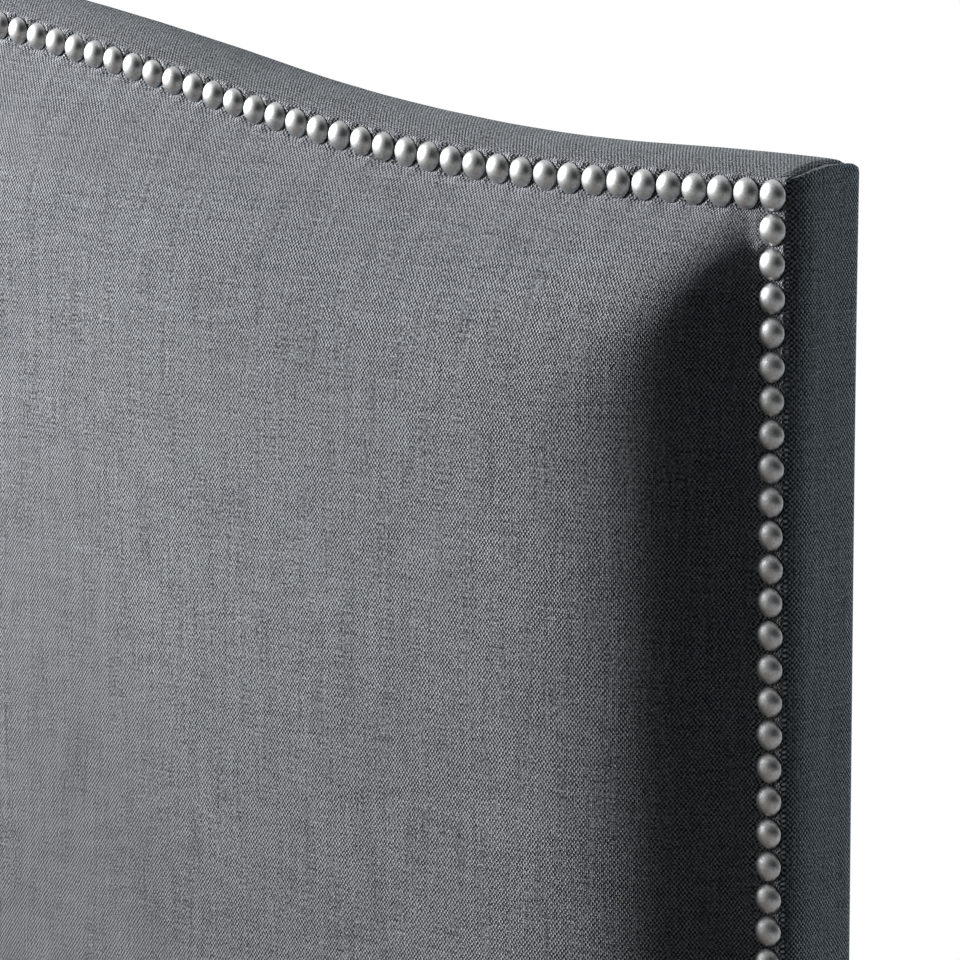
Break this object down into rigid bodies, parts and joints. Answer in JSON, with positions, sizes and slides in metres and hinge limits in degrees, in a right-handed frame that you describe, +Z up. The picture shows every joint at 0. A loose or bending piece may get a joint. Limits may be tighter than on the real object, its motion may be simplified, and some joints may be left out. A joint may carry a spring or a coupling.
{
  "type": "camelback upholstered bed",
  "caption": "Upholstered bed with a padded camelback headboard edged in dome nails, padded rails and footboard, a slatted base and a centre beam on levelling feet.",
  "frame": {"origin": "on the floor, under the middle of the whole bed", "axes": "+Z up, +Y towards the headboard, +X to the right for someone who stands at the foot and looks at the headboard"},
  "size_m": [1.6206, 2.1698, 1.3214],
  "materials": {
    "linen": "plain-weave charcoal linen with slubs, matt",
    "dust_cloth": "black non-woven dust cloth, matt",
    "foam": "open-cell upholstery foam, matt",
    "webbing": "woven webbing",
    "pewter_nails": "satin pewter plating",
    "pine": "planed pine, unfinished",
    "plywood": "sanded plywood",
    "dowel_wood": "fluted beech dowel",
    "dark_wood": "espresso stain, satin lacquer",
    "black_steel": "black powder coat",
    "zinc_steel": "zinc plated",
    "nylon": "black nylon"
  },
  "bodies": {
    "bed": {"headboard_post_left": "dark_wood", "headboard_post_right": "dark_wood", "camelback_rail": "pine", "headboard_mid_rail": "pine", "headboard_bottom_rail": "pine", "headboard_stile_lower": "pine", "headboard_stile_upper": "pine", "headboard_dowels": "dowel_wood", "headboard_panel": "plywood", "headboard_foam": "foam", "headboard_cover": "linen", "headboard_apron": "linen", "headboard_top_band": "linen", "headboard_side_band_left": "linen", "headboard_side_band_right": "linen", "headboard_back_cover": "dust_cloth", "nail_trim_top": "pewter_nails", "nail_trim_left": "pewter_nails", "nail_trim_right": "pewter_nails", "side_rail_left": "pine", "side_rail_right": "pine", "rail_padding_left": "foam", "rail_padding_right": "foam", "rail_cover_left": "linen", "rail_cover_right": "linen", "slat_ledger_left": "pine", "slat_ledger_right": "pine", "head_brackets": "black_steel", "foot_brackets": "black_steel", "frame_bolts": "zinc_steel", "bracket_screws": "zinc_steel", "footboard_core": "pine", "footboard_foam": "foam", "footboard_cover": "linen", "foot_leg_left": "dark_wood", "foot_leg_right": "dark_wood", "leg_hanger_bolts": "zinc_steel", "floor_glides": "nylon", "centre_beam": "pine", "beam_hangers": "black_steel", "centre_leg_1": "pine", "centre_leg_2": "pine", "leveller_inserts": "zinc_steel", "slat_straps": "webbing", "slat_01": "pine", "slat_02": "pine", "slat_03": "pine", "slat_04": "pine", "slat_05": "pine", "slat_06": "pine", "slat_07": "pine", "slat_08": "pine", "slat_09": "pine", "slat_10": "pine", "slat_11": "pine", "slat_12": "pine"},
    "pad_1": {"leveller_pad_1": "nylon"},
    "stem_1": {"leveller_stem_1": "zinc_steel"},
    "pad_2": {"leveller_pad_2": "nylon"},
    "stem_2": {"leveller_stem_2": "zinc_steel"}
  },
  "joints": [
    {"name": "leveller_1_travel", "type": "slide", "parent": "bed", "child": "pad_1", "axis": [0, 0, -1], "range_m": [0, 0.015]},
    {"name": "leveller_1_turn", "type": "hinge", "parent": "pad_1", "child": "stem_1", "pos_m": [0, 0.31725, 0.005], "axis": [0, 0, -1], "range_deg": [0, 4320]},
    {"name": "leveller_2_travel", "type": "slide", "parent": "bed", "child": "pad_2", "axis": [0, 0, -1], "range_m": [0, 0.015]},
    {"name": "leveller_2_turn", "type": "hinge", "parent": "pad_2", "child": "stem_2", "pos_m": [0, -0.37047, 0.005], "axis": [0, 0, -1], "range_deg": [0, 4320]}
  ],
  "couplings": [
    {"joint": "leveller_1_turn", "follows": "leveller_1_travel", "rad_per_m": 5026.5},
    {"joint": "leveller_2_turn", "follows": "leveller_2_travel", "rad_per_m": 5026.5}
  ]
}
